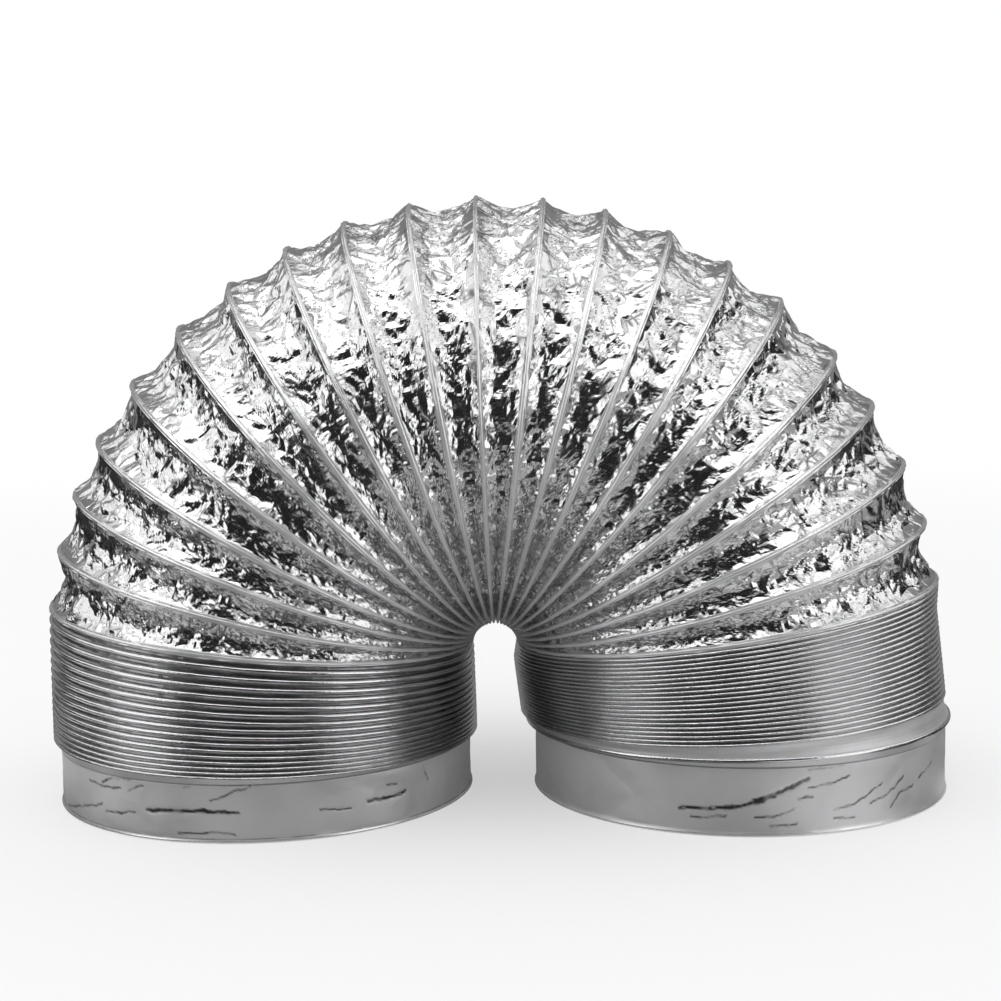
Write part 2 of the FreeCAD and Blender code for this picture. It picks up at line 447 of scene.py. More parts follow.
FOIL_INPUTS = [
    ("Low Centre", VECTOR, None), ("High Centre", VECTOR, None),
    ("Low Turn", NUMBER, 0.0), ("High Turn", NUMBER, 0.0),
    ("Low Radius", NUMBER, 0.077), ("High Radius", NUMBER, 0.077),
    ("Depth Outside", NUMBER, 0.004), ("Depth Inside", NUMBER, 0.001),
    ("Width Outside", NUMBER, 0.024), ("Width Inside", NUMBER, 0.001),
    ("Foil Width", NUMBER, 0.025), ("Crumple", NUMBER, 0.001), ("Facet", NUMBER, 0.005),
    ("Bay", NUMBER, 1.0), ("Corners", NUMBER, 36.0), ("Lag", NUMBER, 0.3), ("Floor Share", NUMBER, 0.4),
    ("Panel Rise", NUMBER, 0.0009),
    ("Wall", NUMBER, 0.0003), ("Seed", NUMBER, 0.0), ("Crowding", NUMBER, 0.0),
    ("Columns", WHOLE, 32), ("Rows", WHOLE, 600), ("Material", MATERIAL, None),
]
# Columns of the plain inner face of the foil between two ribs.
INNER_COLUMNS = 4


def corner_share(line, corner):
    """Uneven share, -1 to 1, by which crumpling moves a corner of a line round the foil, as in the solids."""
    first = (corner * 2.3 + line * 5.1).math("SINE")
    return (first + (corner * 4.7 - line * 3.3).math("SINE")) * 0.5


def panel_lift(given, share, around):
    """Share from -1 to 1 by which the main panels of a bay stand out: flat between two lines of corners."""
    slope = (1.0 - given["Floor Share"]) * 0.5
    rising = (share / slope).math("MINIMUM", 1.0)
    crossing = ((share - slope) / given["Floor Share"]).clamped()
    falling = ((share + slope - 1.0) / slope).clamped()
    step = (around - math.pi / 2) * given["Corners"] / math.tau - (rising + crossing + falling) * given["Lag"]
    corner = step.math("FLOOR")
    part = step - corner
    here = corner.math("FLOORED_MODULO", given["Corners"])
    there = (corner + 1.0).math("FLOORED_MODULO", given["Corners"])
    lines = []
    for line in (given["Bay"] * 2.0, given["Bay"] * 2.0 + 1.0):
        lines.append(corner_share(line, here) * (1.0 - part) + corner_share(line, there) * part)
    return lines[0] * rising * (1.0 - crossing) + lines[1] * crossing * (1.0 - falling)


def foil_tree():
    """Closed foil wall between two ribs: the outer face crumpled, the inner face plain."""
    tree, given, target = new_tree("Foil Between Ribs", "GeometryNodeTree", FOIL_INPUTS,
                                   [("Geometry", GEOMETRY)])
    grid, share, around, inside, pinch = wall_grid(tree, given, INNER_COLUMNS)
    around = around - around.math("SINE") * given["Crowding"]
    outer = around.math("COSINE") * 0.5 + 0.5
    centre = mixed(tree, given["Low Centre"], given["High Centre"], share)
    turn = given["Low Turn"] + (given["High Turn"] - given["Low Turn"]) * share
    edge = (share * 2.0 - 1.0).math("ABSOLUTE")
    dip = 1.0 - edge.math("POWER", 2.0)
    depth = given["Depth Inside"] + (given["Depth Outside"] - given["Depth Inside"]) * outer
    width = given["Width Inside"] + (given["Width Outside"] - given["Width Inside"]) * outer
    room = (width / given["Foil Width"]).math("POWER", 0.5)
    base = given["Low Radius"] + (given["High Radius"] - given["Low Radius"]) * share
    length = width * 0.85 + given["Foil Width"] * 0.15
    pattern = join_xyz(tree, around.math("COSINE") * base, around.math("SINE") * base,
                       (share - 0.5) * length + given["Seed"])
    held = add_node(tree, "ShaderNodeMapRange", [("Value", edge), ("From Min", 1.0), ("From Max", 0.86)],
                    interpolation_type="SMOOTHSTEP")
    amount = given["Crumple"] * room
    lift = crumple_height(tree, pattern, given["Facet"], room) * amount * Field(tree, held.outputs[0])
    panels = panel_lift(given, share, around) * given["Panel Rise"] * (width / given["Width Outside"])
    wall = (given["Wall"] + amount * 0.7) * pinch * inside
    radius = base - depth * dip + panels + lift * (1.0 - inside) - wall
    place = ring_point(tree, centre, turn, around, radius)
    # Painted shade: the foil is painted darker in the grooves beside the ribs and inside the bend, less so
    # outside.
    shade = ((edge - 0.84) / 0.16).math("MAXIMUM", (0.45 - outer) * 1.1).clamped()
    finish_tree(tree, target, Field(tree, grid.outputs[0]), place, pattern, given["Material"], False,
                shade * (1.0 - outer * 0.75))
    return tree


RIB_INPUTS = [
    ("Centre", VECTOR, None), ("Turn", NUMBER, 0.0), ("Radius", NUMBER, 0.078),
    ("Width", NUMBER, 0.0019), ("Slack", NUMBER, 0.0), ("Least Width", NUMBER, 0.0007),
    ("Height", NUMBER, 0.0018),
    ("Ridge", NUMBER, 0.0004), ("Fold", NUMBER, 0.0003), ("Squareness", NUMBER, 0.5),
    ("Room Outside", NUMBER, 0.02), ("Room Inside", NUMBER, 0.02),
    ("Waver", NUMBER, 0.0002), ("Seed", NUMBER, 0.0), ("Smooth", NUMBER, 1.0),
    ("Columns", WHOLE, 18), ("Rows", WHOLE, 300), ("Material", MATERIAL, None),
]


def signed_power(value, power):
    return value.math("SIGN") * value.math("ABSOLUTE").math("POWER", power)


def rib_tree():
    """Closed ring of foil drawn over a wire turn: flat shoulders with the wire's ridge between them."""
    tree, given, target = new_tree("Rib Over Wire", "GeometryNodeTree", RIB_INPUTS, [("Geometry", GEOMETRY)])
    grid, across, around = grid_fields(tree, given["Columns"], given["Rows"])
    across = across * math.tau
    around = around * math.tau
    outer = around.math("COSINE") * 0.5 + 0.5
    room = given["Room Inside"] + (given["Room Outside"] - given["Room Inside"]) * outer
    width = given["Width"] + given["Slack"] * (1.0 - outer)
    width = width.math("MINIMUM", given["Least Width"] + room * 0.14).math("MINIMUM", room * 0.9)
    pattern = join_xyz(tree, around.math("COSINE") * given["Radius"], around.math("SINE") * given["Radius"],
                       across * given["Width"] * 0.5 + given["Seed"])
    waver = noise(tree, pattern, 160.0, 3.0) * given["Waver"]
    upright = across.math("COSINE")
    sideways = signed_power(across.math("SINE"), given["Squareness"] * 0.5 + 1.0)
    body = given["Height"] - given["Ridge"]
    top = upright.math("GREATER_THAN", 0.0)
    ridge = (sideways * 2.1).math("POWER", 2.0) * -1.0
    ridge = ridge.math("EXPONENT") * given["Ridge"] * top
    fold = (sideways.math("ABSOLUTE") - 0.77) * 6.0
    pinched = (noise(tree, pattern, 150.0, 2.0) * 3.5 + 0.6).clamped()
    ridge = ridge + (fold * fold * -1.0).math("EXPONENT") * given["Fold"] * pinched * top
    middle = given["Radius"] - given["Ridge"] - body * 0.5
    radius = middle + signed_power(upright, 1.0 - given["Squareness"]) * body * 0.5 + ridge + waver
    reach = sideways * width * 0.5
    reach = reach + noise(tree, turned(tree, pattern, (0.4, 0.8, 0.2)), 90.0, 2.0) * given["Waver"]
    normal = join_xyz(tree, given["Turn"].math("SINE") * -1.0, 0.0, given["Turn"].math("COSINE"))
    centre = vector_math(tree, "ADD", given["Centre"], vector_math(tree, "SCALE", normal, scale=reach))
    place = ring_point(tree, centre, given["Turn"], around, radius)
    finish_tree(tree, target, Field(tree, grid.outputs[0]), place, pattern, given["Material"],
                given["Smooth"])
    return tree


CUFF_INPUTS = [
    ("Foot", VECTOR, None), ("Turn", NUMBER, 0.0), ("Bore", NUMBER, 0.075), ("Wall", NUMBER, 0.0004),
    ("Height", NUMBER, 0.02), ("Hem Height", NUMBER, 0.0024), ("Hem Rise", NUMBER, 0.0006),
    ("Wrinkle", NUMBER, 0.0003), ("Crease Depth", NUMBER, 0.0005), ("Crease Width", NUMBER, 0.0008),
    ("Seed", NUMBER, 0.0),
    ("Columns", WHOLE, 40), ("Rows", WHOLE, 640), ("Material", MATERIAL, None),
]
# Columns of a cuff's inner face.
CUFF_INSIDE = 6

# Creases pressed into the cuffs, as bearings in degrees from the front and heights in millimetres.
RIGHT_SHARP = (((-22, 8.9), (-9, 10), (-1, 12.5), (3, 15.1), (7, 17.2), (11, 19.2)), ((-3, 12.8), (2, 13.6)))
RIGHT_FAINT = (
    ((-19, 5.9), (-10, 7.2)), ((-3, 6.8), (2, 7), (7, 9.2)), ((8, 12.8), (12, 13)),
    ((11, 16.2), (18, 17.3), (22, 19.4)), ((11, 22.3), (17, 22.6), (25, 23.6)),
    ((18, 8.4), (23, 8.6), (27, 11.3), (33, 14.5)), ((29, 8.4), (37, 11.7), (41, 15.2)),
    ((36, 5.8), (39, 9.4), (45, 11)), ((1, 3.5), (8, 4)), ((18, 5.2), (24, 4.5)), ((48, 12.8), (56, 16.2)))
LEFT_SHARP = (((-25, 10), (-15, 10.9), (-5, 11.2), (0, 10.6)), ((34, 10.6), (41, 9.8), (46, 10.9)))
LEFT_FAINT = (
    ((-47, 16.2), (-41, 15.3), (-34, 16)), ((-41, 16.7), (-36, 19.4), (-30, 19.8)),
    ((-31, 15.8), (-26, 18.3)), ((-63, 2.3), (-53, 5.3), (-41, 9.1)), ((-40, 6.6), (-29, 8.5)),
    ((-14, 18.8), (-8, 20.3), (-2, 20.5)),
    ((-7, 14.6), (-1, 17.8), (6, 20.4)), ((-16, 3.1), (-5, 4), (-1, 3)), ((40, 14.6), (43, 14.1)),
    ((21, 9.8), (29, 9)), ((53, 18), (55, 12.5)))


def crease_distance(tree, place, lines):
    """Distance from a place on the unrolled cuff to the nearest of these creases."""
    joined = tree.nodes.new("GeometryNodeJoinGeometry")
    for line in lines:
        points = [Vector((math.radians(bearing) * BORE_RADIUS, height * MM, 0)) for bearing, height in line]
        for start, end in zip(points, points[1:]):
            piece = add_node(tree, "GeometryNodeCurvePrimitiveLine", [("Start", start), ("End", end)])
            tree.links.new(piece.outputs[0], joined.inputs[0])
    strokes = add_node(tree, "GeometryNodeCurveToMesh", [("Curve", Field(tree, joined.outputs[0]))])
    near = add_node(tree, "GeometryNodeProximity", [
        ("Geometry", Field(tree, strokes.outputs[0])), ("Sample Position", place)], target_element="EDGES")
    return Field(tree, near.outputs["Distance"])


def cuff_tree(name, sharp_lines, faint_lines):
    """Plain foil cuff with pressed creases and a rolled hem, closed over its rim and its inner face.
    Its stored mask paints shade into the creases and just above the hem, and a highlight on the hem.
    """
    tree, given, target = new_tree(name, "GeometryNodeTree", CUFF_INPUTS, [("Geometry", GEOMETRY)])
    grid, share, around, inside, pinch = wall_grid(tree, given, CUFF_INSIDE)
    height = share * given["Height"]
    hem = 1.0 - (height / given["Hem Height"] * 2.0 - 1.0).math("POWER", 2.0)
    hem = hem.math("MAXIMUM", 0.0).math("SQRT") * given["Hem Rise"]
    pattern = join_xyz(tree, around.math("COSINE") * given["Bore"], around.math("SINE") * given["Bore"],
                       height + given["Seed"])
    free = (height / given["Hem Height"] - 1.0).clamped()
    free = free * ((given["Height"] - height) / (2 * MM)).clamped()
    bearing = (around.math("COSINE") * given["Turn"].math("COSINE")).math(
        "ARCTAN2", around.math("SINE").math("ABSOLUTE"))
    unrolled = join_xyz(tree, bearing * given["Bore"], height, 0.0)
    bend = vector_math(tree, "MULTIPLY", wander(tree, unrolled, 260.0), (2 * MM, 2 * MM, 0.0))
    unrolled = vector_math(tree, "ADD", unrolled, bend)
    sharp = crease_distance(tree, unrolled, sharp_lines) / given["Crease Width"]
    faint = crease_distance(tree, unrolled, faint_lines) / given["Crease Width"]
    pressed = (sharp * -1.0).math("EXPONENT") + (faint * -1.6).math("EXPONENT") * 0.45
    lift = crumple_height(tree, pattern, 16 * MM, 1.0) * given["Wrinkle"] - pressed * given["Crease Depth"]
    some = (noise(tree, turned(tree, unrolled, (0.2, 0.7, 0.4)), 150.0) * 3.5 + 1.0).clamped()
    # Mask of painted shade in the creases and in a line just above the hem, and of a painted highlight on the
    # hem, where it goes below 0.
    shade_above_hem = 1.0 - ((height - given["Hem Height"]) / (0.4 * MM)).math("ABSOLUTE")
    mask = (1.9 - sharp * 1.15).math("MAXIMUM", 1.25 - faint * 1.35) * free
    mask = mask.math("MAXIMUM", shade_above_hem).clamped() * some * (1.0 - inside)
    mask = mask - (hem * 2.0 / given["Hem Rise"]).math("MINIMUM", 1.0)
    outer = given["Bore"] + given["Wall"]
    radius = outer + (hem + lift * free) * (1.0 - inside) - given["Wall"] * pinch * inside
    centre = vector_math(tree, "ADD", given["Foot"], join_xyz(tree, 0.0, 0.0, height))
    place = ring_point(tree, centre, given["Turn"], around, radius)
    finish_tree(tree, target, Field(tree, grid.outputs[0]), place, pattern, given["Material"], mask=mask)
    return tree


def grown(name, tree, values):
    """Plain mesh object made by a node tree with these input values."""
    mesh = bpy.data.meshes.new(name + "_seed")
    piece = bpy.data.objects.new(name, mesh)
    bpy.context.scene.collection.objects.link(piece)
    modifier = piece.modifiers.new("Shape", "NODES")
    modifier.node_group = tree
    for item in tree.interface.items_tree:
        if item.in_out == "INPUT":
            value = values[item.name]
            modifier[item.identifier] = tuple(value) if isinstance(value, Vector) else value
    bpy.context.view_layer.update()
    graph = bpy.context.evaluated_depsgraph_get()
    made = bpy.data.meshes.new_from_object(piece.evaluated_get(graph), depsgraph=graph)
    piece.modifiers.remove(modifier)
    piece.data = made
    made.name = name
    bpy.data.meshes.remove(mesh)
    return piece


def arch_turn(number):
    """Angle about the arch's centre of a wire turn, from its ring's centre."""
    spoke = node_centre(f"wire_turn_{number:02d}") - ARCH_CENTRE
    return math.atan2(spoke.z, spoke.x)


def section_of_turn(number):
    """Centre and angle of a turn of the arch."""
    return node_centre(f"wire_turn_{number:02d}"), arch_turn(number)


def joint_of_turn(number):
    """Name of the hinge that opens on the crown's side of a turn, or beside the crown turn itself."""
    side = "left" if number <= CROWN else "right"
    return f"{side}_bend_{max(abs(number - CROWN), 1):02d}"


def press_towards(piece, number, joint, keep):
    """Rides a piece on a turn, with a mesh of its own. It is not pressed as the joint opens: joint and keep
    are not used.
    """
    centre, turn = section_of_turn(number)
    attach(piece, f"turn_{number:02d}")
    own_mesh(piece)


def pressed_share(low, high):
    """Share of a bay's width that is left once its two turns have closed to nearly parallel."""
    step = abs(high[1] - low[1])
    rest = (ARCH_RADIUS + RIB_RADIUS) * math.sin(step)
    inside = (ARCH_RADIUS - RIB_RADIUS) * 2 * math.tan(step / 2)
    return (inside + 2 * RIB_RADIUS * math.sin(LEFT_OPEN)) / rest


def stack_sections(side):
    """Centres and angles of a stack's ribs, from the cuff up, and then of the arch's first turn."""
    sizes = getattr(bpy.context.scene, f"duct_{side}_stack")
    foot, height, turn, outwards = leg_of(side)
    top, angle = section_of_turn(turn)
    way = 1 if side == "left" else -1
    lean = (outwards - angle) * way
    total = top.z - height
    rise, tilt, count = sizes.first_gap, sizes.first_tilt, sizes.turns
    steps = [(rise, tilt)]
    if sizes.band > 0:
        rise, tilt, count = rise + sizes.band, sizes.band_tilt, count - 1
        steps.append((rise, tilt))
    for i in range(1, count):
        share = i / count * (1 - sizes.crowding * (1 - i / count))
        steps.append((rise + (total - rise) * share, tilt + (lean - tilt) * share))
    sections = []
    for rise, tilt in steps:
        share = rise / total
        shift = sizes.side_shift * min(1.0, share * 5, (1 - share) * 5)
        x = foot.x + (top.x - foot.x) * share - math.copysign(shift, foot.x)
        sections.append((Vector((x, 0, height + rise)), outwards - tilt * way))
    return sections + [(top, angle)]


def gap_at(low, high, outwards):
    """Distance between two sections' rims, outside (1) or inside (-1) the bend."""
    points = [centre + Vector((math.cos(turn), 0, math.sin(turn))) * RIB_RADIUS * outwards
              for centre, turn in (low, high)]
    return (points[1] - points[0]).length


def foil_values(low, high, sizes, material, seed):
    """Inputs of the foil between two sections."""
    return {
        "Low Centre": low[0], "High Centre": high[0], "Low Turn": low[1], "High Turn": high[1],
        "Low Radius": RIB_RADIUS - sizes.rib_proud, "High Radius": RIB_RADIUS - sizes.rib_proud,
        "Depth Outside": sizes.depth_outside, "Depth Inside": sizes.depth_inside,
        "Width Outside": gap_at(low, high, 1), "Width Inside": gap_at(low, high, -1),
        "Foil Width": sizes.foil_width, "Crumple": sizes.crumple, "Facet": sizes.facet,
        "Bay": 0.0, "Corners": float(sizes.bay_corners), "Lag": sizes.corner_lag,
        "Floor Share": sizes.floor_share, "Panel Rise": 0.0,
        "Wall": sizes.foil_wall, "Seed": seed, "Crowding": 0.3,
        "Columns": 38, "Rows": 620, "Material": material,
    }


def rib_values(section, sizes, material, seed, room):
    """Inputs of the rib at a section, with the room between its neighbours outside and inside."""
    return {
        "Centre": section[0], "Turn": section[1], "Radius": RIB_RADIUS,
        "Width": sizes.rib_width, "Slack": sizes.rib_slack, "Least Width": sizes.rib_least_width,
        "Height": sizes.rib_height, "Ridge": sizes.rib_proud, "Fold": sizes.rib_fold, "Squareness": 0.5,
        "Room Outside": room[0], "Room Inside": room[1], "Waver": 0.2 * MM, "Seed": seed, "Smooth": 0.0,
        "Columns": 20, "Rows": 320, "Material": material,
    }


def unsmooth(weight):
    """Share along a blend at which the smooth step reaches a weight."""
    return 0.5 - math.sin(math.asin(1.0 - 2.0 * weight) / 3.0)


def blend_between(piece, low, high, low_weight, high_weight):
    """Works out a blend of a piece from low_weight at its low section to high_weight at its high one, but
    applies none of it: it only bakes the piece's transform into its mesh.
    """
    first, last = unsmooth(low_weight), unsmooth(high_weight)
    turn = (low[1] + high[1]) / 2
    axis = Vector((-math.sin(turn), 0, math.cos(turn)))
    step = axis * ((high[0] - low[0]).dot(axis) / (last - first))
    start = low[0] - step * first
    start + step
    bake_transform(piece)


# Length in metres of the blend of a piece that keeps its shape, so long that its weight is all but even.
FIRM_REACH = 60.0


def blend_firm(piece, place, weight):
    """Works out a blend of one weight for a whole piece, but applies none of it: it only bakes the piece's
    transform into its mesh.
    """
    reach = Vector((0, 0, FIRM_REACH))
    start = place - reach * unsmooth(weight)
    start + reach
    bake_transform(piece)


def crease_group():
    """Creases that are too small for the mesh: their height, with sharp folds between flat facets."""
    tree, given, target = new_tree(
        "Fine Creases", "ShaderNodeTree",
        [("Vector", VECTOR, None), ("Facet", NUMBER, 0.0018)],
        [("Height", NUMBER)])
    size = 1.0 / given["Facet"]
    bend = vector_math(tree, "SCALE", wander(tree, given["Vector"], size * 0.3), scale=given["Facet"])
    place = vector_math(tree, "ADD", given["Vector"], bend)
    wide = folds(tree, turned(tree, place, (0.5, 0.9, 0.3)), size * 0.45)
    fine = folds(tree, place, size)
    tree.links.new((wide * 1.6 - fine).socket, target.inputs[0])
    return tree


def painted_fold_shade_group():
    """Mask of painted shade at the sharp folds of crumpled foil, at its mesh's folds, some stronger than
    others.
    """
    tree, given, target = new_tree(
        "Painted Fold Shade", "ShaderNodeTree",
        [("Vector", VECTOR, None), ("Facet", NUMBER, 0.006)], [("Mask", NUMBER)])
    large, middle, small = fold_distances(tree, given["Vector"], given["Facet"])
    size = 1.0 / given["Facet"]
    lines = (1.1 - large * 24.0).math("MAXIMUM", 1.0 - middle * 12.0)
    lines = lines.math("MAXIMUM", 0.4 - small * 5.0).math("MAXIMUM", 0.0)
    some = noise(tree, turned(tree, given["Vector"], (0.2, 0.6, 1.0)), size * 1.1, 1.0) * 9.0 - 0.4
    tree.links.new((lines * some.clamped()).clamped().socket, target.inputs[0])
    return tree


def tarnish_group():
    """Soft clouds of dulled metal over the foil, as a mask from 0 to 1."""
    tree, given, target = new_tree("Dull Clouds", "ShaderNodeTree",
                                   [("Vector", VECTOR, None), ("Scale", NUMBER, 60.0)], [("Mask", NUMBER)])
    cloud = noise(tree, given["Vector"], given["Scale"], 4.0)
    tree.links.new((cloud * 1.8 + 0.5).clamped().socket, target.inputs[0])
    return tree


def tree_place(tree):
    """Place on the object, in its own metres."""
    return Field(tree, tree.nodes.new("ShaderNodeTexCoord").outputs["Object"])


def mixed_colour(tree, low, high, share):
    """Colour between two colours."""
    node = add_node(tree, "ShaderNodeMix", data_type="RGBA")
    feed(tree, share, node.inputs[0])
    for place, value in ((6, low), (7, high)):
        feed(tree, value if isinstance(value, Field) else (*value, 1), node.inputs[place])
    return Field(tree, node.outputs[2])


def stored_value(tree, name, output):
    """Value that a piece's mesh holds under this name."""
    return Field(tree, add_node(tree, "ShaderNodeAttribute", attribute_name=name).outputs[output])


def shader_group(tree, name, inputs):
    """Output of a shared node group, placed in a material with these inputs."""
    node = tree.nodes.new("ShaderNodeGroup")
    node.node_tree = bpy.data.node_groups[name]
    for key, value in inputs:
        feed(tree, value, node.inputs[key])
    return Field(tree, node.outputs[0])


# Painted highlight: the rolled hem catches the light, so its colour is painted brighter than the cuff.
HEM_HIGHLIGHT = (0.98, 0.98, 0.98)


def metal_material(name, colour, dark_share, roughness, roughness_swing, facet, bump, own_place=False,
                   fold_facet=0.0, shade_share=1.0, worn_inside=0.0, metal=1.0):
    """Bright metal with dull clouds and fine creases, and painted shade along dark fold lines where it is
    crumpled.

    dark_share is how bright the dull clouds are, facet and bump are the size and height of the fine creases,
    fold_facet is the size of the mesh's own folds, and shade_share is how bright the painted shade of its
    stored mask is, in pressed creases, above a hem and beside ribs; below 0 the mask paints a highlight on a
    hem."""
    material = bpy.data.materials.new(name)
    material.use_nodes = True
    tree = material.node_tree
    tree.nodes.clear()
    target = tree.nodes.new("ShaderNodeOutputMaterial")
    shader = tree.nodes.new("ShaderNodeBsdfPrincipled")
    shader.inputs["Metallic"].default_value = metal
    place = tree_place(tree) if own_place else stored_value(tree, "foil_place", "Vector")
    creases = shader_group(tree, "Fine Creases", [("Vector", place), ("Facet", facet)])
    cloud = shader_group(tree, "Dull Clouds", [("Vector", place), ("Scale", 70.0)])
    paint = mixed_colour(tree, tuple(c * dark_share for c in colour), colour, cloud)
    rough = cloud * roughness_swing + roughness
    if worn_inside:
        outwards = Field(tree, add_node(tree, "ShaderNodeSeparateXYZ", [(0, place)]).outputs[0])
        inside = add_node(tree, "ShaderNodeMapRange", [
            ("Value", outwards), ("From Min", RIB_RADIUS * 0.4), ("From Max", -RIB_RADIUS * 0.5)])
        rough = rough + Field(tree, inside.outputs[0]) * worn_inside
    # Painted shade: the colour is painted five times darker along the foil's fold lines.
    if fold_facet:
        line = shader_group(tree, "Painted Fold Shade", [("Vector", place), ("Facet", fold_facet)])
        paint = mixed_colour(tree, paint, tuple(c * 0.2 for c in colour), line)
        rough = rough + line * 0.15
    # Painted shade from the stored mask, and a painted highlight on the hem where the mask is below 0.
    if shade_share < 1.0:
        crease = stored_value(tree, "painted_shade_and_highlight", "Fac")
        paint = mixed_colour(tree, paint, tuple(c * shade_share for c in colour), crease)
        hem = (crease * -1.0).clamped()
        paint = mixed_colour(tree, paint, HEM_HIGHLIGHT, hem)
        rough = rough - hem * 0.3
    feed(tree, paint, shader.inputs["Base Color"])
    feed(tree, rough, shader.inputs["Roughness"])
    relief = add_node(tree, "ShaderNodeBump", [("Strength", 1.0), ("Distance", bump), ("Height", creases)])
    tree.links.new(relief.outputs[0], shader.inputs["Normal"])
    tree.links.new(shader.outputs[0], target.inputs[0])
    return material


class DUCT_OT_materials(bpy.types.Operator):
    """Makes the foil, rib, cuff and wire finishes"""
    bl_idname = "duct.materials"
    bl_label = "Finishes"

    def execute(self, context):
        finish = context.scene.duct_finish
        crease_group()
        painted_fold_shade_group()
        tarnish_group()
        # The bays' foil is painted with shade along its fold lines and in the grooves beside its ribs.
        metal_material("bay_foil_finish", finish.foil, dark_share=0.92, roughness=finish.foil_roughness,
                       roughness_swing=0.06, facet=0.0022, bump=0.00009,
                       fold_facet=context.scene.duct_sizes.facet, shade_share=0.3)
        # The pleats' foil is painted darker for the shade between the ribs of a stack.
        metal_material("pleat_foil_painted_shade", finish.pleat, dark_share=0.85, roughness=0.26,
                       roughness_swing=0.10, facet=0.0013, bump=0.00003)
        metal_material("rib_foil_finish", finish.rib, dark_share=0.85, roughness=0.19,
                       roughness_swing=0.12, facet=0.0012, bump=0.00004, worn_inside=0.22, metal=0.85)
        metal_material("stack_rib_finish", finish.rib, dark_share=0.85, roughness=0.16,
                       roughness_swing=0.10, facet=0.0012, bump=0.00004)
        # The cuff finish paints shade from the stored mask into the creases, above the hems and beside the
        # ribs of plain pleats, and a highlight on the hems.
        metal_material("cuff_foil_finish", finish.cuff, dark_share=0.9, roughness=0.42,
                       roughness_swing=0.12, facet=0.009, bump=0.00006, shade_share=0.06, metal=0.75)
        metal_material("wire_finish", finish.wire, dark_share=0.8, roughness=0.3,
                       roughness_swing=0.1, facet=0.0006, bump=0.00001, own_place=True)
        return {"FINISHED"}


class DUCT_OT_bays(bpy.types.Operator):
    """Makes the crumpled foil between the fanned ribs of the arch"""
    bl_idname = "duct.bays"
    bl_label = "Foil Bays"

    def execute(self, context):
        sizes = context.scene.duct_sizes
        tree = foil_tree()
        material = bpy.data.materials["bay_foil_finish"]
        for number in range(1, TURNS):
            low, high = section_of_turn(number), section_of_turn(number + 1)
            values = foil_values(low, high, sizes, material, number * 0.37)
            values.update({"Bay": float(number), "Panel Rise": sizes.panel_rise})
            piece = grown(f"crumpled_bay_{number:02d}", tree, values)
            near, far = (number + 1, number) if number < CROWN else (number, number + 1)
            press_towards(piece, near, joint_of_turn(far), pressed_share(low, high))
            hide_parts(f"foil_bay_{number:02d}")
        return {"FINISHED"}


class DUCT_OT_ribs(bpy.types.Operator):
    """Makes the foil drawn over the wire turns of the arch"""
    bl_idname = "duct.ribs"
    bl_label = "Arch Ribs"

    def execute(self, context):
        sizes = context.scene.duct_sizes
        tree = rib_tree()
        material = bpy.data.materials["rib_foil_finish"]
        for number in range(1, TURNS + 1):
            beside = [section_of_turn(n) for n in (number - 1, number + 1) if 1 <= n <= TURNS]
            room = [min(gap_at(section_of_turn(number), other, way) for other in beside) for way in (1, -1)]
            values = rib_values(section_of_turn(number), sizes, material, number * 0.53, room)
            if number == CROWN:
                values.update({"Width": sizes.rib_width * sizes.crown_share, "Slack": 0.0})
            piece = grown(f"rib_over_turn_{number:02d}", tree, values)
            if number == CROWN:
                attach(piece, f"turn_{number:02d}")
            else:
                press_towards(piece, number, joint_of_turn(number), sizes.rib_press)
        return {"FINISHED"}


# Points round a rib or pleat of a stack, and the share of the room between two ribs that a rib may fill.
STACK_ROWS = 256
STACK_ROOM = 0.72


def stack_pleats(side, sections):
    """Foil below each rib of a leg's stack and below the arch. The sections start at the cuff's top."""
    sizes = bpy.context.scene.duct_sizes
    sizes_here = getattr(bpy.context.scene, f"duct_{side}_stack")
    tree = bpy.data.node_groups["Foil Between Ribs"]
    end, turn = f"{side}_end", f"turn_{leg_of(side)[2]:02d}"
    count = len(sections) - 2
    for i, (low, high) in enumerate(zip(sections, sections[1:])):
        from_cuff = i == 0
        plain = from_cuff or (sizes_here.band > 0 and i == 1)
        depth = min(sizes.pleat_share * (high[0] - low[0]).length,
                    sizes.band_depth if plain else sizes.pleat_limit)
        if from_cuff:
            depth = 0.0
        material = bpy.data.materials["cuff_foil_finish" if plain else "pleat_foil_painted_shade"]
        values = foil_values(low, high, sizes, material, 9 + i * 0.61)
        values.update({
            "Depth Outside": depth, "Depth Inside": depth, "Foil Width": 4.5 * MM, "Crowding": 0.0,
            "Crumple": 0.03 * MM if plain else sizes_here.crumple, "Facet": 6.0 * MM,
            "Columns": 6, "Rows": STACK_ROWS,
        })
        if from_cuff:
            values["Low Radius"] = BORE_RADIUS + sizes.cuff_wall
        pleat = grown(f"{side}_pleat_{i + 1:02d}", tree, values)
        if from_cuff:
            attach(pleat, end)
        else:
            blend_between(pleat, low, high, (i - 1) / count, i / count)
        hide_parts(f"{side}_pleats")


